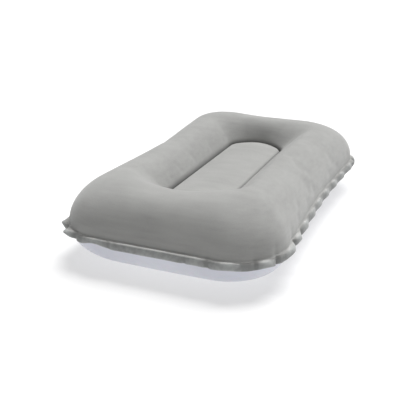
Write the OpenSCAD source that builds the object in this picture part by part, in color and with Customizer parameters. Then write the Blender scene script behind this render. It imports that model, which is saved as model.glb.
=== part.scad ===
// Inflatable camp pillow: a flocked top sheet and a vinyl bottom sheet welded
// round the edge, an inner belt that holds the middle of the top down so a head
// hollow forms, and a push-in valve in the far end wall.
// Millimetres. +Z up, +X along the pillow's length. It stands on z = 0.

/* [Outline] */
// half length of the air chamber, to the edge weld
half_len = 199; // [150:1:240]
// half width of the air chamber, to the edge weld
half_wid = 118; // [90:1:150]
// corner radius of the air chamber
corner_r = 54; // [30:1:80]
// how far the long sides draw in at their middle
waist_side = 6.5; // [0:0.5:12]
// how far the short ends draw in at their middle
waist_end = 1; // [0:0.5:8]
// height of the edge weld above the floor
weld_z = 39; // [25:1:50]

/* [Head hollow] */
// half length of the centre seam, at its straight sides
seam_half_len = 112; // [80:1:130]
// extra half length of the bowed ends of the centre seam
seam_bow = 10.5; // [0:0.5:20]
// half width of the centre seam
seam_half_wid = 33.5; // [25:0.5:50]
// corner radius of the centre seam
seam_corner_r = 18; // [8:1:30]
// height of the centre seam above the edge weld
seam_rise = 17; // [10:1:35]
// how far the middle of the island puffs up above its seam
island_puff = 5; // [0:0.5:12]

/* [Puffed rim] */
// height of the rim above the edge weld, middle of the short ends
rim_end = 43; // [35:1:60]
// height of the rim above the edge weld, middle of the long sides
rim_side = 43.5; // [35:0.5:60]
// how much taller the corners stand
rim_corner = 3.5; // [0:0.5:12]
// where the crest stands, from 0 at the centre seam to 1 at the edge weld
rim_crest = 0.405; // [0.3:0.005:0.6]
// how squarely the rim drops to the centre seam, 2 is a plain parabola
rim_drop = 2.15; // [1.5:0.05:3]

/* [Bottom] */
// share of the ring that stays off the floor, 0 none to 1 all
floor_lift = 0.55; // [0.3:0.01:0.7]

/* [Sheets] */
// thickness of the flocked top sheet
top_t = 0.7; // [0.4:0.05:1.2]
// thickness of the vinyl bottom sheet
bottom_t = 0.45; // [0.3:0.05:1]
// gap left between sheets that are welded face to face
weld_gap = 0.05; // [0.02:0.01:0.1]

/* [Edge weld] */
// how far the welded margin reaches out from the air chamber
margin_reach = 5; // [4:0.5:12]
// thickness of the welded margin, both sheets together
margin_t = 1; // [0.6:0.1:1.6]
// how far the margin hangs down at its outer edge
margin_hang = 7.5; // [2:0.5:10]
// height of the soft ruffles along the margin
ruffle_h = 0.8; // [0:0.1:2]
// number of ruffles round the margin
ruffle_n = 48; // [24:4:72]

/* [Centre belt] */
// thickness of the belt wall
belt_t = 0.5; // [0.4:0.1:1.5]
// width of the belt's weld hems
hem_w = 4; // [2:0.5:8]
// thickness of the hems
hem_t = 0.5; // [0.4:0.1:1]
// bore of the air holes through the belt
air_hole_d = 14; // [8:1:24]
// distance between air holes along the belt
air_hole_pitch = 50; // [30:1:80]

/* [Valve] */
// angle round the end wall where the valve sits, 0 at the weld, 90 at the floor
valve_at = 38; // [30:1:50]
// how far the valve points below level
valve_tilt = 42; // [30:1:55]
// radius of the flat patch of sheet round the valve
valve_flat_r = 15; // [12:0.5:16]
// hole in the bottom sheet
valve_hole_r = 10.5; // [9:0.5:12]
// radius of the weld flange inside the sheet
flange_r = 12.5; // [11:0.5:15]
// thickness of the weld flange
flange_t = 1.3; // [1:0.1:2]
// inside radius of the cup the stem folds into
cup_r = 8.6; // [7.5:0.1:9.5]
// depth of the cup
cup_depth = 8; // [5:0.5:10]
// wall of the cup
cup_t = 1; // [0.8:0.1:1.4]
// outside radius of the stem
stem_r = 5.2; // [4:0.1:6]
// bore radius of the stem
stem_bore_r = 4.1; // [3:0.1:5]
// length of the stem
stem_len = 22; // [18:0.5:28]
// radius of the mouth lip on the stem
lip_r = 6.8; // [6:0.1:7.5]
// thickness of the mouth lip
lip_t = 1.2; // [0.8:0.1:2]
// radius of the stopper's cap
cap_r = 6.4; // [5:0.1:7]
// thickness of the stopper's cap
cap_t = 1.3; // [1:0.1:2]
// length of the stopper's tapered shank
shank_len = 6; // [4:0.5:8]
// shank radius under the cap
shank_r = 3.5; // [3:0.1:4]
// shank radius at its tip
shank_tip_r = 1.9; // [1.5:0.1:3]
// radius of the one-way flap
flap_r = 4.8; // [4:0.1:5]
// thickness of the one-way flap
flap_t = 0.6; // [0.4:0.1:1]
// running gap between parts that move
play = 0.3; // [0.2:0.05:0.5]

/* [Hidden] */
$fn = 48;

flock_grey = [0.70, 0.70, 0.69];
vinyl = [0.80, 0.80, 0.85];
belt_film = [0.78, 0.79, 0.80];
valve_clear = [0.86, 0.87, 0.88];

// steps in a quarter of the outline: half an end, a corner, half a side
n_end = 10;
n_arc = 9;
n_side = 9;
n_quarter = n_end + n_arc + n_side;
n_loop = 4 * n_quarter;
n_outer = 9;
n_inner = 6;
n_ring = n_outer + n_inner;
n_island = 4;
n_wall = 12;

// top sheet starts and bottom sheet ends a hair off the welded margin
top_z = weld_z + margin_t / 2 + weld_gap;
bottom_z = weld_z - margin_t / 2 - weld_gap;
seam_z = top_z + seam_rise;

// ---- the two outlines, point by point --------------------------------------
// quarter of a rounded rectangle; g counts steps from the end's middle
function quarter(g, l, w, r) =
    g <= n_end ? [l, (w - r) * g / n_end]
    : g <= n_end + n_arc
      ? [l - r + r * cos(90 * (g - n_end) / n_arc), w - r + r * sin(90 * (g - n_end) / n_arc)]
      : [(l - r) * (1 - (g - n_end - n_arc) / n_side), w];
// step within the quarter, mirrored so all four quarters match
function step_of(k) =
    let (q = floor(k / n_quarter), f = k - q * n_quarter) q % 2 == 1 ? n_quarter - f : f;
function sign_x(k) = let (q = floor(k / n_quarter) % 4) (q == 1 || q == 2) ? -1 : 1;
function sign_y(k) = floor(k / n_quarter) % 4 >= 2 ? -1 : 1;

// edge weld: rounded rectangle whose sides draw in at the middle
function edge_at(g) =
    let (p = quarter(g, half_len, half_wid, corner_r))
    [p[0] - waist_end * pow(cos(90 * p[1] / half_wid), 2),
     p[1] - waist_side * pow(cos(90 * p[0] / half_len), 2)];
// centre seam: rounded rectangle whose ends bow out
function seam_at(g) =
    let (p = quarter(g, seam_half_len, seam_half_wid, seam_corner_r))
    [p[0] + seam_bow * pow(cos(90 * p[1] / seam_half_wid), 2), p[1]];
function rim_at(g) =
    let (a = 90 * g / n_quarter)
    rim_end + (rim_side - rim_end) * pow(sin(a), 2) + rim_corner * pow(sin(2 * a), 2);

edge_q = [for (g = [0 : n_quarter]) edge_at(g)];
seam_q = [for (g = [0 : n_quarter]) seam_at(g)];
edge = [for (k = [0 : n_loop - 1])
    let (p = edge_q[step_of(k)]) [p[0] * sign_x(k), p[1] * sign_y(k)]];
seam = [for (k = [0 : n_loop - 1])
    let (p = seam_q[step_of(k)]) [p[0] * sign_x(k), p[1] * sign_y(k)]];

// ---- the top sheet's outer face, row by row from edge to middle ------------
// the rim rises upright from the edge weld as an ellipse, over the crest, and
// drops ever more steeply to the centre seam
function rim_point(k, j) =
    let (h = rim_at(step_of(k)),
         a = 90 * min(1, j / n_outer),
         t = max(0, j - n_outer) / n_inner,
         r = (rim_crest + (1 - rim_crest) * cos(a)) * (1 - t),
         p = seam[k] * (1 - r) + edge[k] * r)
    [p[0], p[1], top_z + (j <= n_outer ? h * sin(a)
                          : seam_rise + (h - seam_rise) * (1 - pow(t, rim_drop)))];
function island_point(k, j) =
    let (f = 1 - 0.8 * pow(j / n_island, 1.3))
    [seam[k][0] * f, seam[k][1] * f, seam_z + island_puff * (1 - pow(f, 3))];
top_out = [for (j = [0 : n_ring + n_island])
    [for (k = [0 : n_loop - 1])
        j <= n_ring ? rim_point(k, j) : island_point(k, j - n_ring)]];

// ---- the bottom sheet's outer face, row by row from weld to floor ----------
valve_dir = [cos(valve_tilt), 0, -sin(valve_tilt)];
wall_w = (edge_q[0][0] - seam_q[0][0]) * floor_lift;
valve_pos = [edge_q[0][0] - wall_w + wall_w * cos(valve_at), 0,
             bottom_z * (1 - sin(valve_at))] - valve_dir;
// the stiff valve flange holds the sheet flat round itself
function settle(p, off) =
    let (d = p - valve_pos, h = d * valve_dir, r = norm(d - h * valve_dir),
         f = p[0] < 0 ? 0 : max(0, min(1, (valve_flat_r + 5 - r) / 5)),
         e = f * f * (3 - 2 * f))
    p - valve_dir * (h + off) * e;
function wall_point(k, j, off) =
    let (a = 90 * j / n_wall,
         r = 1 - floor_lift * (1 - cos(a)),
         p = seam[k] * (1 - r) + edge[k] * r,
         c = p - off * cos(a) * unit2(edge[k] - seam[k]))
    settle([c[0], c[1], off + (bottom_z - off) * (1 - sin(a))], off);
function unit2(v) = v / norm(v);

// ---- sheet building --------------------------------------------------------
function next(k) = (k + 1) % n_loop;
function prev(k) = (k + n_loop - 1) % n_loop;
function unit3(v) = v / norm(v);
// rows of points moved inward by the sheet's thickness
function inner_rows(rows, t) = [for (j = [0 : len(rows) - 1])
    [for (k = [0 : n_loop - 1])
        let (a = rows[j][next(k)] - rows[j][prev(k)],
             b = rows[min(j + 1, len(rows) - 1)][k] - rows[max(j - 1, 0)][k],
             n = unit3(cross(b, a)),
             p = rows[j][k] + t * n)
        j == 0 ? [p[0], p[1], rows[0][k][2]] : p]];
function quad_at(base, j, k, flip) =
    let (a = base + j * n_loop + k, b = base + j * n_loop + next(k),
         c = base + (j + 1) * n_loop + next(k), d = base + (j + 1) * n_loop + k)
    flip ? [[a, c, b], [a, d, c]] : [[a, b, c], [a, c, d]];

module top_panel()
    color(flock_grey) {
        rows = top_out;
        inside = inner_rows(rows, top_t);
        m = len(rows);
        count = m * n_loop;
        out_mid = [0, 0, seam_z + island_puff];
        points = concat([for (r = rows) each r], [for (r = inside) each r],
                        [out_mid, out_mid - [0, 0, top_t]]);
        faces = concat(
            [for (j = [0 : m - 2]) for (k = [0 : n_loop - 1]) each quad_at(0, j, k, true)],
            [for (j = [0 : m - 2]) for (k = [0 : n_loop - 1]) each quad_at(count, j, k, false)],
            [for (k = [0 : n_loop - 1]) [(m - 1) * n_loop + next(k), (m - 1) * n_loop + k,
                                         2 * count]],
            [for (k = [0 : n_loop - 1]) [count + (m - 1) * n_loop + k,
                                         count + (m - 1) * n_loop + next(k), 2 * count + 1]],
            [for (k = [0 : n_loop - 1]) each [[k, next(k), count + next(k)],
                                              [k, count + next(k), count + k]]]);
        polyhedron(points, faces, convexity = 8);
    }

module bottom_shell() {
    rows = [for (j = [0 : n_wall]) [for (k = [0 : n_loop - 1]) wall_point(k, j, 0)]];
    inside = [for (j = [0 : n_wall])
        [for (k = [0 : n_loop - 1])
            let (p = wall_point(k, j, bottom_t)) j == 0 ? [p[0], p[1], bottom_z] : p]];
    m = n_wall + 1;
    count = m * n_loop;
    points = concat([for (r = rows) each r], [for (r = inside) each r]);
    faces = concat(
        [for (j = [0 : m - 2]) for (k = [0 : n_loop - 1]) each quad_at(0, j, k, false)],
        [for (j = [0 : m - 2]) for (k = [0 : n_loop - 1]) each quad_at(count, j, k, true)],
        [[for (k = [0 : n_loop - 1]) (m - 1) * n_loop + k]],
        [[for (k = [n_loop - 1 : -1 : 0]) count + (m - 1) * n_loop + k]],
        [for (k = [0 : n_loop - 1]) each [[k, count + next(k), next(k)],
                                          [k, count + k, count + next(k)]]]);
    polyhedron(points, faces, convexity = 8);
}

module bottom_panel()
    color(vinyl)
        difference() {
            bottom_shell();
            at_valve() translate([0, 0, -3]) cylinder(r = valve_hole_r, h = 6);
        }

// welded margin: both sheets as one band that reaches out, turns down and is
// softly ruffled; f is the way across it, -1 at its hidden root to 1 at its edge
margin_across = [-1, 0, 0.3, 0.6, 0.8, 1];
function margin_out(f) = f < 0 ? 2 * f : margin_reach * sin(90 * f);
function margin_down(f) = f < 0 ? 0 : -margin_hang * (1 - cos(90 * f));
module edge_weld()
    color(flock_grey) {
        per = 3;
        n = n_loop * per;
        half = len(margin_across);
        w = 2 * half;
        // points between the outline's own points, along the outline
        line = [for (i = [0 : n - 1])
            let (k = floor(i / per), f = (i - k * per) / per) edge[k] * (1 - f) + edge[next(k)] * f];
        side = [for (i = [0 : n - 1])
            let (d = line[(i + 2) % n] - line[(i + n - 2) % n]) unit2([d[1], -d[0]])];
        points = [for (i = [0 : n - 1]) for (j = [0 : w - 1])
            let (f = margin_across[j < half ? j : w - 1 - j],
                 face = (j < half ? 1 : -1) * margin_t / 2,
                 tip = f < 0 ? 0 : 90 * f,
                 ruffle = ruffle_h * max(0, f) * sin(360 * ruffle_n * i / n),
                 out = margin_out(f) + ruffle * sin(tip) + face * sin(tip),
                 p = line[i] + side[i] * out)
            [p[0], p[1], weld_z + margin_down(f) + ruffle * cos(tip) + face * cos(tip)]];
        faces = [for (i = [0 : n - 1]) for (j = [0 : w - 1])
            let (a = i * w + j, b = i * w + (j + 1) % w,
                 c = ((i + 1) % n) * w + (j + 1) % w, d = ((i + 1) % n) * w + j)
            each [[a, b, c], [a, c, d]]];
        polyhedron(points, faces, convexity = 8);
    }

// inner belt: an upright wall under the centre seam with a hem top and bottom
module seam_ring(inner, outer, z, h)
    translate([0, 0, z]) linear_extrude(h)
        difference() {
            polygon([for (k = [0 : n_loop - 1]) grow(k, outer)]);
            polygon([for (k = [0 : n_loop - 1]) grow(k, inner)]);
        }
// seam outline moved outward by d
function grow(k, d) =
    let (t = seam[next(k)] - seam[prev(k)]) seam[k] + d * unit2([t[1], -t[0]]);

module centre_belt()
    color(belt_film) {
        foot = bottom_t + weld_gap;
        head = seam_z - top_t - 1.6;
        difference() {
            union() {
                seam_ring(-belt_t / 2, belt_t / 2, foot, head - foot);
                seam_ring(-hem_w, belt_t / 2, foot, hem_t);
                seam_ring(-hem_w, belt_t / 2, head - hem_t, hem_t);
            }
            for (x = [-1.5 : 1 : 1.5])
                translate([x * air_hole_pitch, 0, (foot + head) / 2]) rotate([90, 0, 0])
                    cylinder(d = air_hole_d, h = 4 * seam_half_wid, center = true);
            translate([0, 0, (foot + head) / 2]) rotate([0, 90, 0])
                cylinder(d = air_hole_d, h = 4 * seam_half_len, center = true);
        }
    }

// valve parts are drawn on +Z and laid onto the end wall
module at_valve() translate(valve_pos) rotate([0, 90 + valve_tilt, 0]) children();

flange_z = -bottom_t - weld_gap;
module valve_flange()
    color(valve_clear) at_valve()
        difference() {
            union() {
                // the rim is bevelled, so that it lies easily against the curving sheet
                translate([0, 0, flange_z - flange_t])
                    cylinder(r1 = flange_r, r2 = flange_r - flange_t, h = flange_t);
                translate([0, 0, flange_z - cup_depth]) cylinder(r = cup_r + cup_t, h = cup_depth);
            }
            translate([0, 0, flange_z - cup_depth + cup_t]) cylinder(r = cup_r, h = cup_depth);
            translate([0, 0, flange_z - cup_depth - 1]) cylinder(r = stem_r + play, h = cup_depth);
        }

module valve_stem()
    color(valve_clear) at_valve()
        difference() {
            union() {
                translate([0, 0, -stem_len]) cylinder(r = stem_r, h = stem_len);
                translate([0, 0, -lip_t]) cylinder(r = lip_r, h = lip_t);
            }
            translate([0, 0, -stem_len - 1]) cylinder(r = stem_bore_r, h = stem_len + 2);
        }

// one-way flap: a thin disc over the stem's inner end, lifted by a rib on one side
module check_flap()
    color(valve_clear) at_valve() {
        translate([0, 0, -stem_len - play - flap_t]) cylinder(r = flap_r, h = flap_t);
        translate([0, -flap_r, -stem_len - play - flap_t]) rotate([0, 90, 0])
            cylinder(r = flap_t / 2, h = 4, center = true);
    }

hinge_y = cap_r + 1;
hinge_z = play + cap_t / 2;
module valve_plug()
    color(valve_clear) at_valve() {
        translate([0, 0, play]) cylinder(r = cap_r, h = cap_t);
        translate([0, 0, play - shank_len]) cylinder(r1 = shank_tip_r, r2 = shank_r, h = shank_len);
        // pull tab on the far side of the hinge
        translate([-2.5, -cap_r - 1.6, play]) cube([5, 3, cap_t]);
        // ears that reach the hinge line
        for (x = [-3.2, 2.2])
            translate([x, cap_r - 2.4, play]) {
                cube([1, 3.4, cap_t]);
                translate([0, 3.4, cap_t / 2]) rotate([0, 90, 0]) cylinder(r = cap_t / 2, h = 1);
            }
    }

// hinge strap: a small knuckle on the lip that the stopper swings on
module plug_hinge()
    color(valve_clear) at_valve() {
        translate([-1.9, hinge_y, hinge_z]) rotate([0, 90, 0]) cylinder(r = 0.5, h = 3.8);
        translate([-1.9, hinge_y - 0.5, weld_gap]) cube([3.8, 1, hinge_z - weld_gap]);
    }

top_panel();
bottom_panel();
edge_weld();
centre_belt();
valve_flange();
valve_stem();
check_flap();
valve_plug();
plug_hinge();
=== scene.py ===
import math

import bmesh
import bpy
import numpy as np
from mathutils import Matrix, Vector


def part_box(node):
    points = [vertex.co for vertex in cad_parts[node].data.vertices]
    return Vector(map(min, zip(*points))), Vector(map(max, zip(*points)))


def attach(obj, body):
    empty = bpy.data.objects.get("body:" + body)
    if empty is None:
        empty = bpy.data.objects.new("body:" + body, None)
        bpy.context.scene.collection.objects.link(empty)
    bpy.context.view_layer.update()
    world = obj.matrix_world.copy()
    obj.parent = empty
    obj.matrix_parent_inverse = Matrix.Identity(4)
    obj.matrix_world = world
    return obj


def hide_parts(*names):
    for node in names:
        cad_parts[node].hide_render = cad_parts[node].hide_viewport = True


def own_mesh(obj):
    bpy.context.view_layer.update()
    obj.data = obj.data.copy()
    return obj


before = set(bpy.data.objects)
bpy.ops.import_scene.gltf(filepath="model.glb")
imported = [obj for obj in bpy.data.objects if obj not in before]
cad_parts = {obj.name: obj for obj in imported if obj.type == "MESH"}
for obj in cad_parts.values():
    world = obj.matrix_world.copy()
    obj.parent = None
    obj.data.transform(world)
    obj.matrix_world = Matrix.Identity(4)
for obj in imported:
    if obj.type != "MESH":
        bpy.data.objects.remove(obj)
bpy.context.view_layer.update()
SCENE = bpy.context.scene

# %% [markdown]
# # An inflatable camp pillow
# Two sheets are welded together round the edge: a grey one with a short velvet
# nap (flock) on top, and a smooth pale vinyl one below. A belt inside ties the
# middle of the top to the bottom, so the air makes a puffed rim round a sunken
# centre, where the head lies. A soft valve sits in one end wall.
# Everything is in metres, standing on z = 0, with +X towards the valve end.

# %% Sizes of the pillow
MM = 0.001
HALF_LEN, HALF_WID, CORNER_R = 199 * MM, 118 * MM, 54 * MM
WAIST_SIDE, WAIST_END = 6.5 * MM, 1 * MM
WELD_Z = 39 * MM
SEAM_LEN, SEAM_WID, SEAM_R = 112 * MM, 33.5 * MM, 18 * MM
SEAM_BOW, SEAM_RISE, PUFF = 10.5 * MM, 17 * MM, 5 * MM
RIM_END, RIM_SIDE, RIM_CORNER = 43 * MM, 43.5 * MM, 3.5 * MM
RIM_CREST, RIM_DROP = 0.405, 2.15
TOP_Z, BOTTOM_Z = WELD_Z + 0.55 * MM, WELD_Z - 0.55 * MM
FLOOR_LIFT = 0.55
for name in sorted(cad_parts):
    low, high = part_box(name)
    print(name, "spans", [round((b - a) / MM, 1) for a, b in zip(low, high)], "mm")

# %% [markdown]
# ## The camera
# It comes first, so that every later step can be looked at from where it counts.
# It looks down about 21 degrees over the near end of the pillow, with the long
# side running away to the right.

# %% Camera
CAM_TURN, CAM_RISE, CAM_FAR = math.radians(-67.08), math.radians(21.24), 0.7476
CAM_LOOK = Vector((-0.0889, -0.0021, 0.050))
camera_data = bpy.data.cameras.new("camera")
camera = bpy.data.objects.new("camera", camera_data)
SCENE.collection.objects.link(camera)
SCENE.camera = camera
back = Vector((math.sin(CAM_TURN) * math.cos(CAM_RISE),
               -math.cos(CAM_TURN) * math.cos(CAM_RISE),
               math.sin(CAM_RISE)))
camera.location = CAM_LOOK + back * CAM_FAR
camera.rotation_euler = (-back).to_track_quat("-Z", "Y").to_euler()
camera_data.sensor_width = 36
camera_data.lens = 62.15
camera_data.clip_start = 0.01
print("camera stands at", [round(v, 3) for v in camera.location])

# %% [markdown]
# ## Small helpers
# A welded film product is all sheets, so three helpers do most of the work:
# `mesh_piece` makes an object from points and faces, `skin` makes a sheet from
# rows of points that run round the pillow, and `settled` turns whatever the
# modifiers make into a plain mesh, which is what the frame needs.

# %% Helpers


def smooth(x):
    """Ease from 0 to 1, level at both ends."""
    x = np.clip(x, 0, 1)
    return x * x * (3 - 2 * x)


def mesh_piece(name, points, faces, edges=()):
    mesh = bpy.data.meshes.new(name)
    mesh.from_pydata([tuple(map(float, p)) for p in points], list(edges), faces)
    mesh.update()
    obj = bpy.data.objects.new(name, mesh)
    SCENE.collection.objects.link(obj)
    return obj


def ring_faces(count, n):
    """Faces between rows of n points, each row closed on itself."""
    k = np.arange(n)
    faces = []
    for j in range(count - 1):
        a, b = j * n + k, j * n + (k + 1) % n
        faces += np.stack([a, b, b + n, a + n], 1).tolist()
    return faces


def shade_smooth(obj):
    obj.data.polygons.foreach_set("use_smooth", [True] * len(obj.data.polygons))
    return obj


def tidy_mesh(obj, reach=2e-5):
    """Merge points that coincide and turn every face outwards."""
    bm = bmesh.new()
    bm.from_mesh(obj.data)
    bmesh.ops.remove_doubles(bm, verts=bm.verts, dist=reach)
    bmesh.ops.dissolve_degenerate(bm, edges=bm.edges, dist=1e-6)
    bmesh.ops.recalc_face_normals(bm, faces=bm.faces)
    bm.to_mesh(obj.data)
    bm.free()
    return shade_smooth(obj)


def settled(obj):
    """Replace the mesh by what the modifiers make of it, and drop them."""
    bpy.context.view_layer.update()
    graph = bpy.context.evaluated_depsgraph_get()
    made = bpy.data.meshes.new_from_object(obj.evaluated_get(graph))
    obj.modifiers.clear()
    obj.data = made
    return obj


def thicken(obj, thickness, offset=-1):
    """Give a sheet its thickness. An offset of -1 grows it inwards, 1 outwards."""
    mod = obj.modifiers.new("thickness", "SOLIDIFY")
    mod.thickness, mod.offset = thickness, offset
    mod.use_even_offset = mod.use_quality_normals = True
    return shade_smooth(settled(obj))


def skin(name, rows, seam_shade_rows=None):
    """A sheet from rows of points, each row running once round the pillow.
    The last argument gives each row a share of painted shade for the seam
    groove, which the flock reads from the 'pressed' attribute."""
    rows = np.array(rows)
    count, n = rows.shape[:2]
    obj = mesh_piece(name, rows.reshape(-1, 3), ring_faces(count, n))
    if seam_shade_rows is not None:
        pressed = obj.data.attributes.new("pressed", "FLOAT", "POINT")
        pressed.data.foreach_set("value", np.repeat(np.array(seam_shade_rows, float), n))
    return tidy_mesh(obj)


# %% [markdown]
# ## The two outlines
# The pillow is ruled by two closed lines: the edge weld, a rounded rectangle
# whose sides draw in between the corners, and the centre seam, a smaller one
# whose ends bow out. Both get the same number of points, matched one to one, so
# a sheet is drawn by sliding from one line to the other.

# %% Outlines
N_END, N_ARC, N_SIDE = 24, 40, 34
N_QUARTER = N_END + N_ARC + N_SIDE
N_LOOP = 4 * N_QUARTER
LOOP = np.arange(N_LOOP)
QUARTER = LOOP // N_QUARTER
STEP = np.where(QUARTER % 2 == 1, N_QUARTER - LOOP % N_QUARTER, LOOP % N_QUARTER)
SIGN = np.stack([np.where((QUARTER == 1) | (QUARTER == 2), -1, 1), np.where(QUARTER >= 2, -1, 1)], 1)


def quarter_line(length, width, radius):
    """A quarter of a rounded rectangle, from the middle of its end to that of its side."""
    g = np.arange(N_QUARTER + 1)
    turn = np.clip((g - N_END) / N_ARC, 0, 1) * math.pi / 2
    x = np.where(g < N_END, length, length - radius + radius * np.cos(turn))
    y = np.where(g < N_END, (width - radius) * g / N_END, width - radius + radius * np.sin(turn))
    along_side = (length - radius) * (1 - (g - N_END - N_ARC) / N_SIDE)
    return np.stack([np.where(g > N_END + N_ARC, along_side, x), y], 1)


def outward(line):
    """The direction that points out of a closed line, at each of its points."""
    d = np.roll(line, -1, 0) - np.roll(line, 1, 0)
    n = np.stack([d[:, 1], -d[:, 0]], 1)
    return n / np.linalg.norm(n, axis=1)[:, None]


q = quarter_line(HALF_LEN, HALF_WID, CORNER_R)
draw_in = np.stack([WAIST_END * np.cos(np.pi / 2 * q[:, 1] / HALF_WID) ** 2,
                    WAIST_SIDE * np.cos(np.pi / 2 * q[:, 0] / HALF_LEN) ** 2], 1)
EDGE = (q - draw_in)[STEP] * SIGN
q = quarter_line(SEAM_LEN, SEAM_WID, SEAM_R)
bow_out = np.stack([SEAM_BOW * np.cos(np.pi / 2 * q[:, 1] / SEAM_WID) ** 2, 0 * q[:, 1]], 1)
SEAM = (q + bow_out)[STEP] * SIGN
# one long side is a little slacker than the other: its seam lies further out
# and its wall leans more
TURN = STEP / N_QUARTER * np.pi / 2
SLACK = np.where(QUARTER >= 2, smooth((TURN / (np.pi / 2) - 0.3) / 0.35), 0)
SLACK_SEAM, SLACK_DROP = 3.0 * MM, 0.85
SEAM[:, 1] -= SLACK_SEAM * SLACK
DROP = RIM_DROP - SLACK_DROP * SLACK
EDGE_OUT, SEAM_OUT = outward(EDGE), outward(SEAM)
gaps = np.linalg.norm(np.roll(EDGE, -1, 0) - EDGE, axis=1)
ALONG = np.concatenate([[0], np.cumsum(gaps)[:-1]])
ROUND = float(gaps.sum())
print("the edge weld is", round(ROUND / MM), "mm round, in", N_LOOP, "steps")

# %% [markdown]
# ## Folds in the weld margin
# Two flat sheets blown up into a pillow leave too much film at the edge, so the
# margin ruffles, and here and there it is tucked in, folded back or crumpled,
# most of all at the corners. The regular ruffles are left to Geometry Nodes. The
# odd ones are this short list, each a soft bump at a place along the weld: how
# far round it is, how wide, how far it is tucked in, how much of the hang it
# takes away, and how much further it reaches out.

# %% Folds
FOLDS = [
    # at, half width, tucked in, hang lost, reach gained (all mm but the share)
    (467, 5.0, 0.0, 0.75, 3.4),
    (477, 2.6, 2.6, 0.0, -2.5),
    (488, 6.5, -0.6, 0.55, 4.2),
    (499, 2.5, 2.2, 0.2, -1.0),
    (524, 13.0, -0.4, 0.42, 0.0),
    (538, 2.4, 2.2, 0.1, 0.0),
    (620, 2.6, 1.6, 0.15, 0.0),
    (631, 6.0, -0.8, -0.05, 0.0),
    (643, 2.4, 2.8, 0.20, 0.0),
    (664, 12.0, -0.9, -0.10, 0.2),
    (687, 2.2, 3.4, 0.12, 0.0),
    (699, 8.0, -1.0, -0.12, 0.5),
    (711, 2.4, 4.2, 0.20, -1.0),
    (736, 16.0, -0.9, 0.28, 0.8),
    (753, 3.0, 3.8, 0.0, -1.4),
    (765, 8.0, -0.8, 0.25, 0.6),
    (784, 3.0, 2.2, 0.0, 0.0),
    (1026, 6.0, -0.5, 0.65, 3.0),
    (1036, 2.6, 2.4, 0.0, -1.0),
    (1068, 3.0, 2.0, 0.0, 0.0),
    (62, 2.6, 2.0, 0.0, 0.0),
    (88, 3.0, 2.4, 0.2, 0.0),
    (104, 7.0, -0.8, 0.5, 2.4),
    (128, 3.0, 2.4, 0.0, 0.0),
    (236, 3.0, 1.6, 0.0, 0.0),
    (330, 12.0, -0.4, 0.35, 0.0),
    (420, 3.0, 2.0, 0.0, 0.0),
]


def fold_sum(along, column, spread=1.0):
    """Add up one column of the list as bumps along the weld, in millimetres."""
    s, around = along / MM, ROUND / MM
    total = np.zeros_like(s)
    for fold in FOLDS:
        away = (s - fold[0] + around / 2) % around - around / 2
        total += fold[column] * np.exp(-(away / (fold[1] * spread)) ** 2)
    return total


def cornerness(along):
    """0 along the sides, 1 round the corners."""
    x = np.interp(along, np.append(ALONG, ROUND), np.append(np.abs(EDGE[:, 0]), abs(EDGE[0, 0])))
    y = np.interp(along, np.append(ALONG, ROUND), np.append(np.abs(EDGE[:, 1]), abs(EDGE[0, 1])))
    return smooth((x - (HALF_LEN - CORNER_R)) / CORNER_R * 1.4) * smooth(
        (y - (HALF_WID - CORNER_R)) / CORNER_R * 1.4)


RUFFLES = 34
DENT = (0.12 + 0.25 * cornerness(ALONG)) * np.cos(2 * np.pi * RUFFLES * ALONG / ROUND)
DENT = (DENT + 0.38 * fold_sum(ALONG, 2, 1.3)) * MM
print(len(FOLDS), "odd folds among", RUFFLES, "ruffles; dents up to", round(DENT.max() / MM, 2), "mm")

# %% [markdown]
# ## The flocked top sheet
# On the real pillow this is one flat cut of flocked film. Air pushes it up into
# a rim, and two welds hold it: the edge, and the seam over the inner belt. It
# could be swept, but a skin drawn row by row follows both lines exactly. Each
# row has its own height: a small fillet out of the weld, an ellipse up to the
# crest, then an ever steeper drop to the seam, and a low puffed island inside.
# A fine groove is pressed along the seam, and small dents run up from the weld
# where the margin ruffles.

# %% Top sheet
BAND, GROOVE, GROOVE_WIDE = 0.35 * MM, 3.0 * MM, 1.5 * MM
FILLET = 1.8 * MM
SEAM_SHADE_REACH = 0.035
RIM = RIM_END + (RIM_SIDE - RIM_END) * np.sin(TURN) ** 2 + RIM_CORNER * np.sin(2 * TURN) ** 2
# the two corners by the valve differ a little: one stands higher, one has sunk
CORNER_UP, CORNER_SUNK = 1.2 * MM, -2.5 * MM
uneven = np.where(QUARTER == 0, CORNER_UP, np.where(QUARTER == 3, CORNER_SUNK, 0))
RIM = RIM + uneven * np.sin(2 * TURN) ** 2


def with_dents(xy, height, rows_up=7 * MM):
    """Push a row in and out where the sheet is gathered at the weld."""
    fade = math.exp(-float(np.mean(height)) / rows_up)
    return xy - EDGE_OUT * (DENT * fade)[:, None]


def top_row(r, z):
    """A row at height z and share r of the way from the seam to the edge weld."""
    start = SEAM + SEAM_OUT * BAND
    xy = start * (1 - r) + EDGE * r
    away = np.linalg.norm(xy - start, axis=1)
    z = z - GROOVE * np.exp(-(away / GROOVE_WIDE) ** 2)
    return np.column_stack([with_dents(xy, z - TOP_Z), z])


# Each row also gets a share of painted shade, 1 at the seam groove and fading away from it, which darkens the
# flock there.
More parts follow.
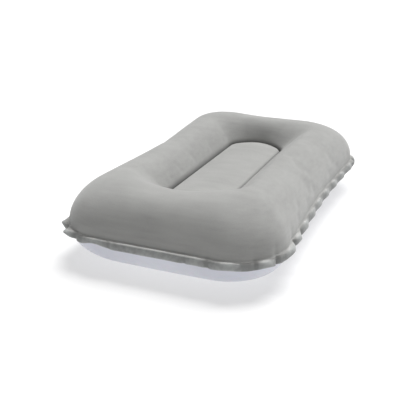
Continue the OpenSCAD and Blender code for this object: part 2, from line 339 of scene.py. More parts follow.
rows, seam_shade_rows = [], []
for turn in np.linspace(0, math.pi / 2, 5)[:-1]:
    out = EDGE + EDGE_OUT * FILLET * (1 - math.sin(turn))
    z = np.full(N_LOOP, TOP_Z - 0.1 * MM + FILLET * (1 - math.cos(turn)))
    rows.append(np.column_stack([with_dents(out, z - TOP_Z), z]))
for turn in np.linspace(0, math.pi / 2, 36):
    if RIM_END * math.sin(turn) > FILLET * 0.8:
        share = RIM_CREST + (1 - RIM_CREST) * math.cos(turn)
        rows.append(top_row(share, TOP_Z + RIM * math.sin(turn)))
near_seam = (0.92, 0.94, 0.955, 0.967, 0.978, 0.986, 0.993, 1)
for t in np.append(np.linspace(0, 0.90, 28)[1:], near_seam):
    drop = SEAM_RISE + (RIM - SEAM_RISE) * (1 - t ** DROP)
    rows.append(top_row(RIM_CREST * (1 - t), TOP_Z + drop))
    seam_shade_rows += [0] * (len(rows) - 1 - len(seam_shade_rows))
    seam_shade_rows.append(math.exp(-((1 - t) / SEAM_SHADE_REACH) ** 2))
spine = SEAM_LEN - SEAM_WID + SEAM_BOW
SPINE = np.stack([np.clip(SEAM[:, 0], -spine, spine), 0 * LOOP], 1)
past_seam = (0, 0.01, 0.02, 0.032, 0.045, 0.06, 0.078, 0.1)
for v in np.append(past_seam, np.linspace(0.13, 1, 22)):
    xy = (SEAM - SEAM_OUT * BAND) * (1 - v) + SPINE * v
    seam_shade_rows.append(math.exp(-(v / SEAM_SHADE_REACH) ** 2))
    away = v * SEAM_WID
    puffed = PUFF * (1 - (1 - v) ** 2.4)
    z = TOP_Z + SEAM_RISE + puffed - GROOVE * math.exp(-(away / GROOVE_WIDE) ** 2)
    rows.append(np.column_stack([xy, np.full(N_LOOP, z)]))
print("rows drawn:", len(rows), "and the seam is row", seam_shade_rows.index(1.0))

# %% [markdown]
# ## Air in the sheet
# The rows so far follow a rule, and film under air never quite does: it sags and
# swells a little between its welds. So the sheet is blown up once as cloth, on a
# coarser copy of the same rows. The copy is held along the edge weld and the
# seam, is a little larger than its space, and has gravity off. This film is taut,
# so how far each point moved is capped low. The moves are then laid over the fine
# rows, which keeps the groove and the fillet crisp.

# %% Blow the sheet up as cloth
CLOTH_FRAMES, CLOTH_CAP, SPARE = 14, 1.5 * MM, -0.0025
ROW_STEP, POINT_STEP = 3, 2
HELD_ROWS, LET_GO_ROWS = 5, 4
AIR_PRESSURE, STRETCH, BENDING = 2, 20, 4


def blown(rows, seam_row):
    """Return how each point of the rows moves when the sheet is blown up."""
    rows = np.array(rows)
    pick = sorted(set(range(0, seam_row, ROW_STEP)) | {seam_row})
    rough = rows[pick][:, ::POINT_STEP]
    count, n = rough.shape[:2]
    obj = mesh_piece("cloth trial", rough.reshape(-1, 3), ring_faces(count, n))
    held = obj.vertex_groups.new(name="held")
    depth = np.minimum(pick, seam_row - np.array(pick))
    for j in range(count):
        hold = float(np.clip(1 - (depth[j] - HELD_ROWS) / LET_GO_ROWS, 0, 1))
        if hold > 0:
            held.add((j * n + np.arange(n)).tolist(), hold, "REPLACE")
    cloth = obj.modifiers.new("cloth", "CLOTH")
    cloth.settings.quality, cloth.settings.mass = 6, 0.2
    cloth.settings.tension_stiffness = cloth.settings.compression_stiffness = STRETCH
    cloth.settings.bending_stiffness = BENDING
    cloth.settings.air_damping = 2
    cloth.settings.vertex_group_mass = "held"
    cloth.settings.shrink_min = SPARE
    cloth.settings.use_pressure = True
    cloth.settings.uniform_pressure_force = AIR_PRESSURE
    cloth.settings.effector_weights.gravity = 0
    cloth.collision_settings.use_collision = False
    cloth.point_cache.frame_start, cloth.point_cache.frame_end = 1, CLOTH_FRAMES
    for step in range(1, CLOTH_FRAMES + 1):
        SCENE.frame_set(step)
    settled(obj)
    moved = np.array([v.co for v in obj.data.vertices]).reshape(rough.shape) - rough
    SCENE.frame_set(1)
    bpy.data.objects.remove(obj)
    far = np.linalg.norm(moved, axis=2, keepdims=True)
    print("cloth moved points", round(float(far.mean()) / MM, 2), "mm on average")
    print("the furthest before the cap:", round(float(far.max()) / MM, 2), "mm")
    moved *= CLOTH_CAP * np.tanh(far / CLOTH_CAP) / np.maximum(far, 1e-9)
    full = np.zeros(rows.shape)
    wide = np.concatenate([moved, moved[:, :1]], 1)
    at = np.arange(0, N_LOOP + 1, POINT_STEP)
    for axis in range(3):
        fine = np.array([np.interp(LOOP, at, row) for row in wide[:, :, axis]])
        full[:, :, axis] = np.array([np.interp(np.arange(len(rows)), pick, fine[:, i], right=0)
                                     for i in LOOP]).T
    return full


rows = np.array(rows) + blown(rows, seam_shade_rows.index(1.0))
top = skin("flocked_top", rows, seam_shade_rows)
print("top sheet:", len(rows), "rows,", len(top.data.polygons), "faces")

# %% [markdown]
# ## The vinyl bottom sheet
# The bottom is the same size of film, smooth and pale. It bellies out less than
# the top and lies flat where it meets the ground. It is skinned the same way.
# The stiff valve flange holds a round patch of the end wall flat, and the weld
# of the inner belt leaves a pressed line underneath.

# %% Bottom sheet
VALVE_AT, VALVE_TILT = math.radians(38), math.radians(42)
VALVE_FLAT, VALVE_FADE = 15 * MM, 5 * MM
VALVE_DIR = np.array([math.cos(VALVE_TILT), 0, -math.sin(VALVE_TILT)])
wall = (EDGE[0, 0] - SEAM[0, 0]) * FLOOR_LIFT
VALVE_POS = np.array([EDGE[0, 0] - wall + wall * math.cos(VALVE_AT), 0,
                      BOTTOM_Z * (1 - math.sin(VALVE_AT))]) - VALVE_DIR * MM


def flat_round_valve(points):
    """Move points near the valve onto the plane that its flange holds flat."""
    d = points - VALVE_POS
    off = d @ VALVE_DIR
    reach = np.linalg.norm(d - off[:, None] * VALVE_DIR, axis=1)
    share = np.where(points[:, 0] > 0, smooth((VALVE_FLAT + VALVE_FADE - reach) / VALVE_FADE), 0)
    return points - VALVE_DIR * (off * share)[:, None]


rows = []
for turn in np.linspace(0, math.pi / 2, 30):
    r = 1 - FLOOR_LIFT * (1 - math.cos(turn))
    z = np.full(N_LOOP, BOTTOM_Z * (1 - math.sin(turn)))
    xy = with_dents(SEAM * (1 - r) + EDGE * r, BOTTOM_Z - z, 9 * MM)
    rows.append(flat_round_valve(np.column_stack([xy, z])))
HEM, HEM_IN, HEM_EDGE = 4 * MM, 0.5 * MM, 0.4 * MM
for r in (0.40, 0.33, 0.25, 0.18, 0.11, 0.05, 0.02, 0):
    rows.append(np.column_stack([SEAM * (1 - r) + EDGE * r, np.zeros(N_LOOP)]))
for inset, z in ((HEM_EDGE, HEM_IN), (HEM - HEM_EDGE, HEM_IN), (HEM, 0)):
    rows.append(np.column_stack([SEAM - SEAM_OUT * inset, np.full(N_LOOP, z)]))
for v in np.linspace(0.2, 1, 6):
    rows.append(np.column_stack([rows[-1][:, :2] * (1 - v) + SPINE * v, np.zeros(N_LOOP)]))
bottom = skin("vinyl_bottom", rows)
print("bottom sheet:", len(rows), "rows,", len(bottom.data.polygons), "faces")

# %% [markdown]
# ## Making Geometry Nodes trees in code
# Two short helpers keep the trees readable: one makes a tree with named inputs,
# the other runs it on an object, setting each input by its identifier before the
# object is first evaluated, and keeps only the plain mesh.

# %% Geometry Nodes helpers


def new_tree(name, inputs):
    tree = bpy.data.node_groups.new(name, "GeometryNodeTree")
    tree.interface.new_socket("Geometry", in_out="INPUT", socket_type="NodeSocketGeometry")
    for label, kind in inputs:
        tree.interface.new_socket(label, in_out="INPUT", socket_type="NodeSocket" + kind)
    tree.interface.new_socket("Geometry", in_out="OUTPUT", socket_type="NodeSocketGeometry")
    return tree, tree.nodes.new("NodeGroupInput").outputs


def add_node(tree, kind, plugs=(), **settings):
    """Add a node, choose its settings, and plug sockets or values into its inputs."""
    made = tree.nodes.new(kind)
    for key, value in settings.items():
        setattr(made, key, value)
    for where, what in dict(plugs).items():
        if isinstance(what, bpy.types.NodeSocket):
            tree.links.new(what, made.inputs[where])
        else:
            made.inputs[where].default_value = what
    return made.outputs


def sum_of(tree, operation, *values):
    return add_node(tree, "ShaderNodeMath", enumerate(values), operation=operation)[0]


def close_tree(tree, geometry, material):
    real = add_node(tree, "GeometryNodeRealizeInstances", {0: geometry})[0]
    dressed = add_node(tree, "GeometryNodeSetMaterial", {"Geometry": real, "Material": material})[0]
    add_node(tree, "NodeGroupOutput", {0: dressed})


def run_tree(obj, tree, values):
    mod = obj.modifiers.new(tree.name, "NODES")
    mod.node_group = tree
    for item in tree.interface.items_tree:
        if item.in_out == "INPUT" and item.name in values:
            mod[item.identifier] = values[item.name]
    return settled(obj)


# %% [markdown]
# ## The ruffled weld margin
# Outside the weld both films run on as a soft lip. It stands out level for a few
# millimetres, rolls over and hangs, and the spare film ruffles it. A strip that
# follows a path is just what Geometry Nodes sweeps well, so the edge weld is
# given as a line of points that carry their place along it, their outward
# direction and the odd folds, and the tree does the rest.

# %% Margin line
FLAT_AT, FLAT_REACH = 588 * MM, 42 * MM


def margin_line(name, spacing=1.0 * MM):
    """The edge weld as a line of points that carry what the tree needs to know."""
    n = int(ROUND / spacing)
    along = np.arange(n) * ROUND / n
    stops = np.append(ALONG, ROUND)
    line = np.stack([np.interp(along, stops, np.append(EDGE[:, i], EDGE[0, i])) for i in (0, 1)], 1)
    side = outward(line)
    points = np.column_stack([line, np.full(n, WELD_Z)])
    obj = mesh_piece(name, points, [], [(i, (i + 1) % n) for i in range(n)])
    corner = cornerness(along)
    long_side = smooth((np.abs(line[:, 1]) - HALF_WID + 14 * MM) / (8 * MM))
    # the middle of one end lies almost flat
    flat_end = np.exp(-((along - FLAT_AT) / FLAT_REACH) ** 2)
    facts = {"along": along / ROUND * 2 * np.pi,
             "tuck": fold_sum(along, 2) * MM,
             "hang_share": 1 - np.clip(fold_sum(along, 3), 0, 0.9) - 0.12 * corner,
             "reach_more": fold_sum(along, 4) * MM,
             "ruffle_share": 0.8 + 0.3 * corner + 0.35 * long_side - 0.6 * flat_end}
    for key, values in facts.items():
        obj.data.attributes.new(key, "FLOAT", "POINT").data.foreach_set("value", values)
    for key, values in (("side", np.column_stack([side, np.zeros(n)])), ("centre", points)):
        obj.data.attributes.new(key, "FLOAT_VECTOR", "POINT").data.foreach_set("vector", values.ravel())
    return obj


# %% [markdown]
# Now the tree. It turns the edge weld into a curve, gives it a short line as a
# profile, and then moves every point of the strip itself: out and down by a
# quarter turn, and in and out by a sine wave whose phase a seeded noise makes
# wander, so that no two ruffles are alike. It leaves two attributes for the
# material: how far across the strip a point is, and how high on a ruffle.

# %% Margin tree


def margin_tree():
    """Build the tree that sweeps and ruffles the strip."""
    tree, given = new_tree("ruffled margin", [
        ("Reach", "Float"), ("Hang", "Float"), ("Root", "Float"), ("Ruffle height", "Float"),
        ("Ruffles", "Float"), ("Wander", "Float"), ("Seed", "Float"), ("Steps", "Int"),
        ("Material", "Material")])

    def kept(name, kind="FLOAT"):
        """Read an attribute that the strip's points carry."""
        return add_node(tree, "GeometryNodeInputNamedAttribute", {0: name}, data_type=kind)[0]

    path = add_node(tree, "GeometryNodeMeshToCurve", {0: given["Geometry"]})[0]
    line = add_node(tree, "GeometryNodeCurvePrimitiveLine", {"Start": (0, 0, 0), "End": (0, 0, MM)})[0]
    line = add_node(tree, "GeometryNodeResampleCurve", {"Curve": line, "Count": given["Steps"]})[0]
    share = add_node(tree, "GeometryNodeSplineParameter")[0]
    line = add_node(tree, "GeometryNodeStoreNamedAttribute",
                    {"Geometry": line, "Name": "across", "Value": share},
                    data_type="FLOAT", domain="POINT")[0]
    strip = add_node(tree, "GeometryNodeCurveToMesh", {"Curve": path, "Profile Curve": line})[0]

    # across runs 0 to 1; its first part is the root, hidden between the sheets
    across = sum_of(tree, "SUBTRACT", sum_of(tree, "MULTIPLY", kept("across"), 1.12), 0.12)
    free = sum_of(tree, "MAXIMUM", across, 0.0)
    root = sum_of(tree, "MULTIPLY", sum_of(tree, "MINIMUM", across, 0.0), given["Root"])
    turn = sum_of(tree, "MULTIPLY", free, math.pi / 2)
    level = sum_of(tree, "POWER", sum_of(tree, "SINE", turn), 0.75)
    fall = sum_of(tree, "SUBTRACT", 1.0, sum_of(tree, "POWER", sum_of(tree, "COSINE", turn), 0.75))

    spot = add_node(tree, "ShaderNodeVectorMath", {0: kept("centre", "FLOAT_VECTOR"), "Scale": 26.0},
                    operation="SCALE")[0]
    seed = add_node(tree, "ShaderNodeCombineXYZ", {0: given["Seed"]})[0]
    spot = add_node(tree, "ShaderNodeVectorMath", {0: spot, 1: seed}, operation="ADD")[0]
    noise = add_node(tree, "ShaderNodeTexNoise", {"Vector": spot, "Scale": 1.0, "Detail": 1.0})[0]
    wander = sum_of(tree, "MULTIPLY", sum_of(tree, "SUBTRACT", noise, 0.5), given["Wander"])
    phase = sum_of(tree, "ADD", sum_of(tree, "MULTIPLY", kept("along"), given["Ruffles"]), wander)
    wave = sum_of(tree, "MULTIPLY", sum_of(tree, "SINE", phase), given["Ruffle height"])
    wave = sum_of(tree, "MULTIPLY", wave, kept("ruffle_share"))
    wave = sum_of(tree, "SUBTRACT", wave, kept("tuck"))
    strip = add_node(tree, "GeometryNodeStoreNamedAttribute",
                     {"Geometry": strip, "Name": "crest",
                      "Value": sum_of(tree, "MULTIPLY", wave, 0.5 / MM)},
                     data_type="FLOAT", domain="POINT")[0]
    wave = sum_of(tree, "MULTIPLY", wave, sum_of(tree, "POWER", free, 0.8))

    reach = sum_of(tree, "MULTIPLY", sum_of(tree, "ADD", given["Reach"], kept("reach_more")), level)
    out = sum_of(tree, "ADD", sum_of(tree, "ADD", reach, root), wave)
    down = sum_of(tree, "MULTIPLY", sum_of(tree, "MULTIPLY", given["Hang"], kept("hang_share")), fall)
    down = sum_of(tree, "SUBTRACT", down, sum_of(tree, "MULTIPLY", wave, 0.75))
    sideways = add_node(tree, "ShaderNodeVectorMath",
                        {0: kept("side", "FLOAT_VECTOR"), "Scale": out}, operation="SCALE")[0]
    drop = add_node(tree, "ShaderNodeCombineXYZ", {2: sum_of(tree, "MULTIPLY", down, -1.0)})[0]
    place = add_node(tree, "ShaderNodeVectorMath",
                     {0: kept("centre", "FLOAT_VECTOR"), 1: sideways}, operation="ADD")[0]
    place = add_node(tree, "ShaderNodeVectorMath", {0: place, 1: drop}, operation="ADD")[0]
    strip = add_node(tree, "GeometryNodeSetPosition", {"Geometry": strip, "Position": place})[0]
    close_tree(tree, strip, given["Material"])
    return tree


# %% [markdown]
# The margin is two films, so the same strip is made twice and each is thickened
# to its own side of the weld: flock on the outside, vinyl on the inside.

# %% Two plies of margin
RUFFLE_TREE = margin_tree()
PLY = 0.42 * MM


def margin_ply(name, offset, material):
    """One of the two films of the margin, thickened to its own side."""
    obj = margin_line(name)
    run_tree(obj, RUFFLE_TREE, {
        "Reach": 4.3 * MM, "Hang": 7.4 * MM, "Root": 14 * MM, "Ruffle height": 1.25 * MM,
        "Ruffles": float(RUFFLES), "Wander": 3.5, "Seed": 5.0, "Steps": 16, "Material": material})
    tidy_mesh(obj)
    up = obj.data.polygons[0].normal.z + sum(p.normal.z for p in obj.data.polygons)
    if up < 0:
        obj.data.flip_normals()
    return thicken(obj, PLY, offset)

# %% [markdown]
# ## The valve
# A push-in valve has five soft parts: a flange welded inside the sheet with a
# cup that lets the stem fold away, the stem, a one-way flap inside it, and a
# stopper on a little hinge. Each is round, so each is turned like a part on a
# lathe: an outline of radius and height, spun round the valve's own axis, which
# points out of the end wall and down.

# %% Turning parts
VALVE_PLACE = Matrix(((VALVE_DIR[2], 0, VALVE_DIR[0], VALVE_POS[0]),
                      (0, 1, 0, VALVE_POS[1]),
                      (-VALVE_DIR[0], 0, VALVE_DIR[2], VALVE_POS[2]),
                      (0, 0, 0, 1)))


def turned(name, outline, steps=72):
    """Spin a closed outline of (radius, height) pairs, in millimetres."""
    outline = np.array(outline, float) * MM
    n = len(outline)
    angle = np.arange(steps) * 2 * np.pi / steps
    points = [(r * math.cos(a), r * math.sin(a), z) for a in angle for r, z in outline]
    faces = [(i * n + j, i * n + (j + 1) % n, (i + 1) % steps * n + (j + 1) % n, (i + 1) % steps * n + j)
             for i in range(steps) for j in range(n)]
    return tidy_mesh(mesh_piece(name, points, faces), 1e-6)


def softened(obj, width, segments=3):
    """Round the sharp edges a little, as a moulded part has them."""
    mod = obj.modifiers.new("soft edges", "BEVEL")
    mod.width, mod.segments = width, segments
    mod.limit_method, mod.angle_limit = "ANGLE", math.radians(35)
    return shade_smooth(settled(obj))


def box_piece(name, low, high):
    """A box between two corners, in millimetres."""
    low, high = np.array(low) * MM, np.array(high) * MM
    corner = [[(low, high)[i >> axis & 1][axis] for axis in range(3)] for i in range(8)]
    faces = [(0, 2, 3, 1), (4, 5, 7, 6), (0, 1, 5, 4), (2, 6, 7, 3), (0, 4, 6, 2), (1, 3, 7, 5)]
    return tidy_mesh(mesh_piece(name, corner, faces), 1e-7)


def rod_piece(name, radius, low, high, y, z):
    """A short rod along the valve's own X."""
    rod = turned(name, [(0, low), (radius, low), (radius, high), (0, high)], 24)
    rod.data.transform(Matrix.Translation((0, y * MM, z * MM)) @ Matrix.Rotation(math.pi / 2, 4, "Y"))
    return rod


def combine(body, tools, operation="UNION"):
    """Join solids into one, or cut them out, and remove the tools."""
    for tool in tools:
        mod = body.modifiers.new("combine", "BOOLEAN")
        mod.object, mod.operation, mod.solver = tool, operation, "EXACT"
        settled(body)
        bpy.data.objects.remove(tool)
    return body


def placed(obj):
    """Move a valve piece from its own axis to its place in the end wall."""
    obj.data.transform(VALVE_PLACE)
    return obj


# %% [markdown]
# The flange is one turned outline with the cup in it, whose wall has two fine
# grooves where it folds. Outside, the weld that holds it shows as pressed rings
# round the hole. They are a thin turned disc of their own, in the sheet's vinyl.

# %% Flange and cup
FLANGE_Z = -0.5
flange = softened(turned("flange_and_cup", [
    (5.5, FLANGE_Z - 8), (9.0, FLANGE_Z - 8), (9.6, FLANGE_Z - 7.4), (9.6, FLANGE_Z - 1.3),
    (12.4, FLANGE_Z - 1.3), (11.2, FLANGE_Z), (8.9, FLANGE_Z), (8.6, FLANGE_Z - 0.3),
    (8.6, FLANGE_Z - 2.4), (8.9, FLANGE_Z - 2.9), (8.6, FLANGE_Z - 3.4), (8.6, FLANGE_Z - 4.4),
    (8.9, FLANGE_Z - 4.9), (8.6, FLANGE_Z - 5.4), (8.6, FLANGE_Z - 6.4), (8.1, FLANGE_Z - 7),
    (5.5, FLANGE_Z - 7)]), 0.12 * MM)
placed(flange)
print_rings = [(10.6, -0.02), (10.6, 0.22)]
for ring in range(4):
    r = 11.1 + ring * 0.9
    print_rings += [(r, 0.10), (r + 0.25, 0.26), (r + 0.5, 0.26), (r + 0.75, 0.10)]
print_rings += [(14.8, -0.02)]
weld_print = placed(softened(turned("valve_weld_print", print_rings, 96), 0.05 * MM, 2))
print("flange", len(flange.data.polygons), "faces, weld print", len(weld_print.data.polygons))

# %% [markdown]
# The stem is a plain tube with grip ribs and a rolled mouth lip. The flap lies
# on its inner end, and a rib on one side of it is what it lifts about.

# %% Stem
stem = [(4.1, -22), (5.0, -22), (5.2, -21.8), (5.2, -12.0)]
for rib in range(3):
    z = -11.4 + rib * 2.2
    stem += [(5.2, z), (5.42, z + 0.3), (5.42, z + 0.6), (5.2, z + 0.9)]
stem += [(5.2, -3.2), (5.6, -1.6), (6.6, -1.2), (6.8, -0.9), (6.8, -0.3), (6.5, 0.0), (4.5, 0.0), (4.1, -0.4)]
stem = placed(softened(turned("blow_stem", stem), 0.08 * MM, 2))
flap_disc = turned("inner_flap", [(0, -22.9), (4.6, -22.9), (4.8, -22.75), (4.8, -22.45),
                                  (4.6, -22.3), (1.2, -22.3), (0.9, -22.42), (0, -22.42)], 48)
flap = combine(flap_disc, [rod_piece("flap rib", 0.3, -2, 2, -4.8, -22.6)])
placed(shade_smooth(flap))
print("stem", len(stem.data.polygons), "faces, flap", len(flap.data.polygons))

# %% [markdown]
# The stopper is turned too, with rings that grip the bore. The pull tab and the
# two ears of the hinge are joined to it as solids, so that it stays one closed
# piece. The hinge sits between the ears, and belongs to the stem.

# %% Stopper and hinge
plug = turned("stopper", [
    (0, -5.7), (1.7, -5.7), (1.95, -5.4), (2.5, -3.4), (2.75, -3.1), (2.6, -2.8), (3.1, -1.4),
    (3.35, -1.1), (3.2, -0.8), (3.5, 0.3), (5.9, 0.3), (6.4, 0.6), (6.4, 1.3), (6.1, 1.6),
    (4.9, 1.6), (4.7, 1.4), (4.1, 1.4), (3.9, 1.6), (0, 1.6)])
tab = softened(box_piece("pull tab", (-2.5, -9.0, 0.35), (2.5, -5.0, 1.55)), 0.5 * MM)
ribs = [rod_piece("grip rib", 0.28, -1.7, 1.7, y, 1.5) for y in (-8.2, -7.4)]
ears = []
for x in (-3.2, 2.2):
    ears.append(box_piece("ear", (x, 4.6, 0.35), (x + 1, 7.4, 1.55)))
    ears.append(rod_piece("ear end", 0.64, x, x + 1, 7.4, 0.95))
combine(plug, [tab] + ribs + ears)
placed(shade_smooth(plug))
hinge = rod_piece("stopper_hinge", 0.5, -1.9, 1.9, 7.4, 0.95)
combine(hinge, [box_piece("hinge web", (-1.9, 6.9, 0.05), (1.9, 7.9, 0.9))])
placed(shade_smooth(hinge))
print("stopper", len(plug.data.polygons), "faces, hinge", len(hinge.data.polygons))

# %% [markdown]
# The hole for the valve is cut once the bottom sheet has its thickness, so its
# wall is real and the cup shows through it.

# %% Valve hole
BOTTOM_THICK, TOP_THICK = 0.45 * MM, 0.6 * MM
thicken(bottom, BOTTOM_THICK)
HOLE, CUT = 10.5, 4
cutter = placed(turned("hole cutter", [(0, -CUT), (HOLE, -CUT), (HOLE, CUT), (0, CUT)], 96))
combine(bottom, [cutter], "DIFFERENCE")
shade_smooth(bottom)
thicken(top, TOP_THICK)
print("bottom with its hole:", len(bottom.data.polygons), "faces")

# %% [markdown]
# ## The inner belt
# Nobody sees the belt unless the pillow is cut open, but it gives the pillow its
# shape: a wall of film round the centre, welded to both sheets, with holes that
# let the air through. The frame already has its true form, so a copy is merged
# and kept, a touch lower so that it clears the groove above it.

# %% Inner belt
CLEAR_OF_GROOVE = 2.4 * MM
belt = bpy.data.objects.new("inner_belt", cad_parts["centre_belt"].data.copy())
SCENE.collection.objects.link(belt)
belt_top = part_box("centre_belt")[1][2]
bm = bmesh.new()
bm.from_mesh(belt.data)
bmesh.ops.remove_doubles(bm, verts=bm.verts, dist=1e-6)
bmesh.ops.scale(bm, vec=(1, 1, (belt_top - CLEAR_OF_GROOVE) / belt_top), verts=bm.verts)
slack_wall = [v for v in bm.verts if v.co.y < -SEAM_WID / 2]
bmesh.ops.translate(bm, vec=(0, -SLACK_SEAM, 0), verts=slack_wall)
bmesh.ops.recalc_face_normals(bm, faces=bm.faces)
bm.to_mesh(belt.data)
bm.free()
print("inner belt", len(belt.data.polygons), "faces")

# %% [markdown]
# ## Materials
# Four finishes cover the pillow. Every pattern is read from Object coordinates,
# so it keeps its real size and stays put on the surface.

# %% Material helpers


def new_finish(name, **sockets):
    """A Principled material with fixed values on the shader's own sockets."""
    made = bpy.data.materials.new(name)
    made.use_nodes = True
    tree = made.node_tree
    shader = tree.nodes["Principled BSDF"]
    for key, value in sockets.items():
        shader.inputs[key.replace("_", " ")].default_value = value
    place = tree.nodes.new("ShaderNodeTexCoord").outputs["Object"]
    return made, tree, shader, place


def grain(tree, place, scale, detail=2.0, stretch=(1, 1, 1), rough=0.5):
    """A noise that keeps its real size on the piece."""
    moved = add_node(tree, "ShaderNodeMapping", {0: place, "Scale": stretch})[0]
    return add_node(tree, "ShaderNodeTexNoise",
                    {"Vector": moved, "Scale": scale, "Detail": detail, "Roughness": rough})[0]


def mixed(tree, share, *stops):
    """A colour ramp. Each stop is a place from 0 to 1 and a colour."""
    ramp = tree.nodes.new("ShaderNodeValToRGB")
    tree.links.new(share, ramp.inputs[0])
    stages = ramp.color_ramp.elements
    for extra in stops[2:]:
        stages.new(extra[0])
    for stage, (at, colour) in zip(stages, stops):
        stage.position, stage.color = at, (*colour, 1)
    return ramp.outputs[0]


def bumped(tree, shader, heights):
    """Chain bumps, each a height, a strength and a depth in metres."""
    normal = None
    for height, strength, depth in heights:
        plugs = {"Height": height, "Strength": strength, "Distance": depth}
        if normal is not None:
            plugs["Normal"] = normal
        normal = add_node(tree, "ShaderNodeBump", plugs)[0]
    tree.links.new(normal, shader.inputs["Normal"])


# %% [markdown]
# ### Flock
# Flock is a nap of very short fibres stood up in glue. It scatters light softly,
# glows a little at grazing angles, and shows faint clouds and streaks where the
# nap has been brushed. Sheen gives the glow, a wide noise the clouds, a stretched
# noise the streaks, and a very fine bump the fibres.

# %% Flock
# Painted shade for the seam groove: the flock is darkened towards this near-black where the 'pressed'
# attribute is high.
SEAM_SHADE_COLOUR = (0.07, 0.07, 0.068, 1)


def flock_finish(name, dark, light):
    """Clouds, streaks and nap between two greys, with painted shade in the seam groove."""
    made, tree, shader, place = new_finish(
        name, Roughness=0.92, Sheen_Weight=0.30, Sheen_Roughness=0.45, Specular_IOR_Level=0.22)
    clouds = grain(tree, place, 22, 3, (1, 1, 1.6))
    streaks = grain(tree, place, 90, 3, (1, 0.25, 3.0))
    nap = grain(tree, place, 1500, 2)
    share = sum_of(tree, "MULTIPLY", clouds, 0.36)
    share = sum_of(tree, "ADD", share, sum_of(tree, "MULTIPLY", streaks, 0.30))
    share = sum_of(tree, "ADD", share, sum_of(tree, "MULTIPLY", nap, 0.34))
    colour = mixed(tree, share, (0.34, dark), (0.66, light))
    # the seam groove is darkened as painted shade, read from the 'pressed' attribute
    painted_seam_shade = add_node(tree, "ShaderNodeAttribute", attribute_name="pressed")["Fac"]
    mix = tree.nodes.new("ShaderNodeMix")
    mix.data_type = "RGBA"
    mix.inputs[7].default_value = SEAM_SHADE_COLOUR
    tree.links.new(painted_seam_shade, mix.inputs["Factor"])
    tree.links.new(colour, mix.inputs[6])
    tree.links.new(mix.outputs[2], shader.inputs["Base Color"])
    bumped(tree, shader, [(nap, 0.35, 0.25 * MM), (grain(tree, place, 420, 2), 0.18, 0.3 * MM),
                          (streaks, 0.05, 0.5 * MM)])
    return made, tree, shader, place


flock = flock_finish("grey flock", (0.292, 0.292, 0.284), (0.372, 0.372, 0.362))[0]
print("flock ready")

# %% [markdown]
# ### Pressed flock
# In the weld the nap is crushed flat by the hot tool, so the margin is smoother,
# shinier and patchier than the rest. The strip kept its place across itself, so
# the level welded band gets a painted highlight and the rolled edge a darker tone.
# It also kept how high each ruffle stands, so crests get painted light and troughs
# painted shade, and how much it is ruffled, so a calm stretch shows a clear
# painted highlight line.

# %% Pressed flock
pressed, tree, shader, place = new_finish(
    "pressed flock", Roughness=0.62, Sheen_Weight=0.12, Sheen_Roughness=0.4, Specular_IOR_Level=0.35)
across = add_node(tree, "ShaderNodeAttribute", attribute_name="across")["Fac"]
crush = grain(tree, place, 240, 3)
patches = grain(tree, place, 70, 2, (1, 1, 0.6))
share = sum_of(tree, "ADD", sum_of(tree, "MULTIPLY", crush, 0.5), sum_of(tree, "MULTIPLY", patches, 0.5))
# crests lightened and troughs darkened: painted light and shade on the ruffles
crest_light_and_shade = add_node(tree, "ShaderNodeAttribute", attribute_name="crest")["Fac"]
share = sum_of(tree, "ADD", share, sum_of(tree, "MULTIPLY", crest_light_and_shade, 0.20))
lip = mixed(tree, share, (0.34, (0.23, 0.235, 0.23)), (0.70, (0.37, 0.38, 0.375)))
# the level band is painted pale as a highlight, palest where the margin is least ruffled
ruffled = add_node(tree, "ShaderNodeAttribute", attribute_name="ruffle_share")["Fac"]
calm_highlight = sum_of(tree, "MULTIPLY", sum_of(tree, "SUBTRACT", 0.98, ruffled), 0.9)
painted_highlight_band = mixed(tree, sum_of(tree, "ADD", share, calm_highlight),
             (0.34, (0.27, 0.27, 0.26)), (0.50, (0.38, 0.38, 0.37)), (0.90, (0.78, 0.78, 0.76)))
mix = tree.nodes.new("ShaderNodeMix")
mix.data_type = "RGBA"
edge_share = add_node(tree, "ShaderNodeMapRange",
                      {"Value": across, "From Min": 0.34, "From Max": 0.52})[0]
tree.links.new(edge_share, mix.inputs["Factor"])
tree.links.new(painted_highlight_band, mix.inputs[6])
tree.links.new(lip, mix.inputs[7])
tree.links.new(mix.outputs[2], shader.inputs["Base Color"])
bumped(tree, shader, [(crush, 0.30, 0.3 * MM), (patches, 0.25, 0.8 * MM)])
print("pressed flock ready")

# %% [markdown]
# ### Vinyl
# The underside is calendered vinyl film: pale with a lavender cast, half gloss,
# with a very faint pebble and the slow waves of film under air pressure.

# %% Vinyl


def vinyl_finish(name, dark, light, rough, coat):
    """A pale film between two tones, with a given roughness and amount of gloss coat."""
    made, tree, shader, place = new_finish(
        name, Roughness=rough, Coat_Weight=coat, Coat_Roughness=0.22, Specular_IOR_Level=0.45,
        Subsurface_Weight=0.06, Subsurface_Scale=0.5 * MM)
    clouds = grain(tree, place, 14, 2)
    tree.links.new(mixed(tree, clouds, (0.35, dark), (0.65, light)), shader.inputs["Base Color"])
    pebble = add_node(tree, "ShaderNodeTexVoronoi", {"Vector": place, "Scale": 900.0},
                      feature="SMOOTH_F1")[0]
    bumped(tree, shader, [(pebble, 0.10, 0.15 * MM), (grain(tree, place, 45, 2), 0.16, 1.2 * MM)])
    return made


vinyl = vinyl_finish("lavender vinyl", (0.60, 0.61, 0.68), (0.68, 0.69, 0.755), 0.36, 0.25)
belt_film = vinyl_finish("belt film", (0.58, 0.59, 0.62), (0.66, 0.67, 0.70), 0.40, 0.1)
valve_vinyl = vinyl_finish("valve vinyl", (0.74, 0.76, 0.80), (0.82, 0.84, 0.87), 0.30, 0.3)
print("vinyls ready")

# %% [markdown]
# ## Dressing the pieces
# Each piece gets its finish and the body it moves with, and the frame's node that
# it stands for is hidden. The top sheet can't travel as one stiff lump when a head
# presses it. Here the top sheet and the belt are each given a mesh of their own.

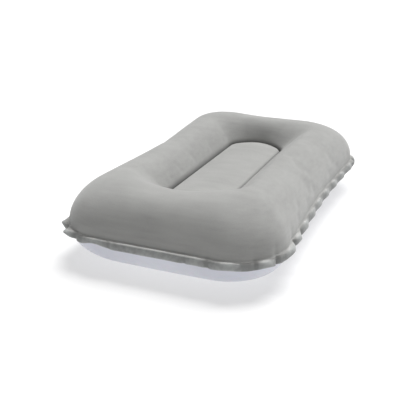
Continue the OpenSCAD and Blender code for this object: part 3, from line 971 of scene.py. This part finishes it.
# %% Dress and ride
margin_top = margin_ply("margin_flock", 1, pressed)
margin_under = margin_ply("margin_vinyl", -1, vinyl)
print("margin plies:", len(margin_top.data.polygons), "and", len(margin_under.data.polygons), "faces")


def dress(obj, material, body, slot, *nodes):
    obj.data.materials.clear()
    obj.data.materials.append(material)
    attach(obj, body)
    if nodes:
        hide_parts(*nodes)


dress(top, flock, "shell", "flocked_top", "top_panel")
dress(bottom, vinyl, "shell", "vinyl_bottom", "bottom_panel")
dress(margin_top, pressed, "shell", "weld_margin", "edge_weld")
dress(margin_under, vinyl, "shell", "vinyl_bottom")
dress(belt, belt_film, "shell", "belt_film", "centre_belt")
dress(flange, valve_vinyl, "shell", "valve_vinyl", "valve_flange")
dress(weld_print, vinyl, "shell", "vinyl_bottom")
dress(stem, valve_vinyl, "stem", "valve_vinyl", "valve_stem")
dress(hinge, valve_vinyl, "stem", "valve_vinyl", "plug_hinge")
dress(flap, valve_vinyl, "flap", "valve_vinyl", "check_flap")
dress(plug, valve_vinyl, "plug", "valve_vinyl", "valve_plug")
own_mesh(top)
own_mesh(belt)

# %% [markdown]
# ## Floor and light
# A plain pale floor and one soft high light from the far right, with a little
# light from all round. The floor glows, as a lit white sweep does, which keeps
# the shadow pale and lifts the underside. The sky is bright low down and dim
# above, and a ray that comes straight from the camera sees plain white instead.

# %% Stage
WIDE = 14.0
KEY_STRENGTH, KEY_SPREAD = 4.3, math.radians(46)
KEY_FROM = Vector((0.45, -0.06, 0.89))
LOW_SKY, MIDDLE_SKY, HIGH_SKY = (0.70, 0.70, 0.71), (0.06, 0.06, 0.06), (0.24, 0.24, 0.24)
corners = [(-WIDE, -WIDE, 0), (WIDE, -WIDE, 0), (WIDE, WIDE, 0), (-WIDE, WIDE, 0)]
floor = mesh_piece("floor", corners, [[0, 1, 2, 3]])
floor_white, tree, shader, place = new_finish(
    "white sweep", Roughness=0.8, Specular_IOR_Level=0.1, Emission_Strength=0.55)
shader.inputs["Emission Color"].default_value = (1, 1, 1, 1)
paper = mixed(tree, grain(tree, place, 3, 1), (0.3, (0.42, 0.42, 0.42)), (0.7, (0.44, 0.44, 0.44)))
tree.links.new(paper, shader.inputs["Base Color"])
floor.data.materials.append(floor_white)

key = bpy.data.objects.new("key light", bpy.data.lights.new("key light", "SUN"))
SCENE.collection.objects.link(key)
key.data.energy, key.data.angle = KEY_STRENGTH, KEY_SPREAD
key.rotation_euler = KEY_FROM.to_track_quat("Z", "Y").to_euler()
world = bpy.data.worlds.new("studio")
SCENE.world = world
world.use_nodes = True
sky = world.node_tree
direction = add_node(sky, "ShaderNodeSeparateXYZ", {0: add_node(sky, "ShaderNodeTexCoord")["Generated"]})["Z"]
glow = mixed(sky, direction, (0.14, LOW_SKY), (0.30, MIDDLE_SKY), (0.95, HIGH_SKY))
backdrop = sky.nodes.new("ShaderNodeMix")
backdrop.data_type = "RGBA"
backdrop.inputs[7].default_value = (1, 1, 1, 1)
sky.links.new(add_node(sky, "ShaderNodeLightPath")["Is Camera Ray"], backdrop.inputs["Factor"])
sky.links.new(glow, backdrop.inputs[6])
sky.links.new(backdrop.outputs[2], sky.nodes["Background"].inputs["Color"])
SCENE.view_settings.view_transform = "Standard"
print("key light from", [round(v, 2) for v in KEY_FROM], "and a floor", 2 * WIDE, "m wide")
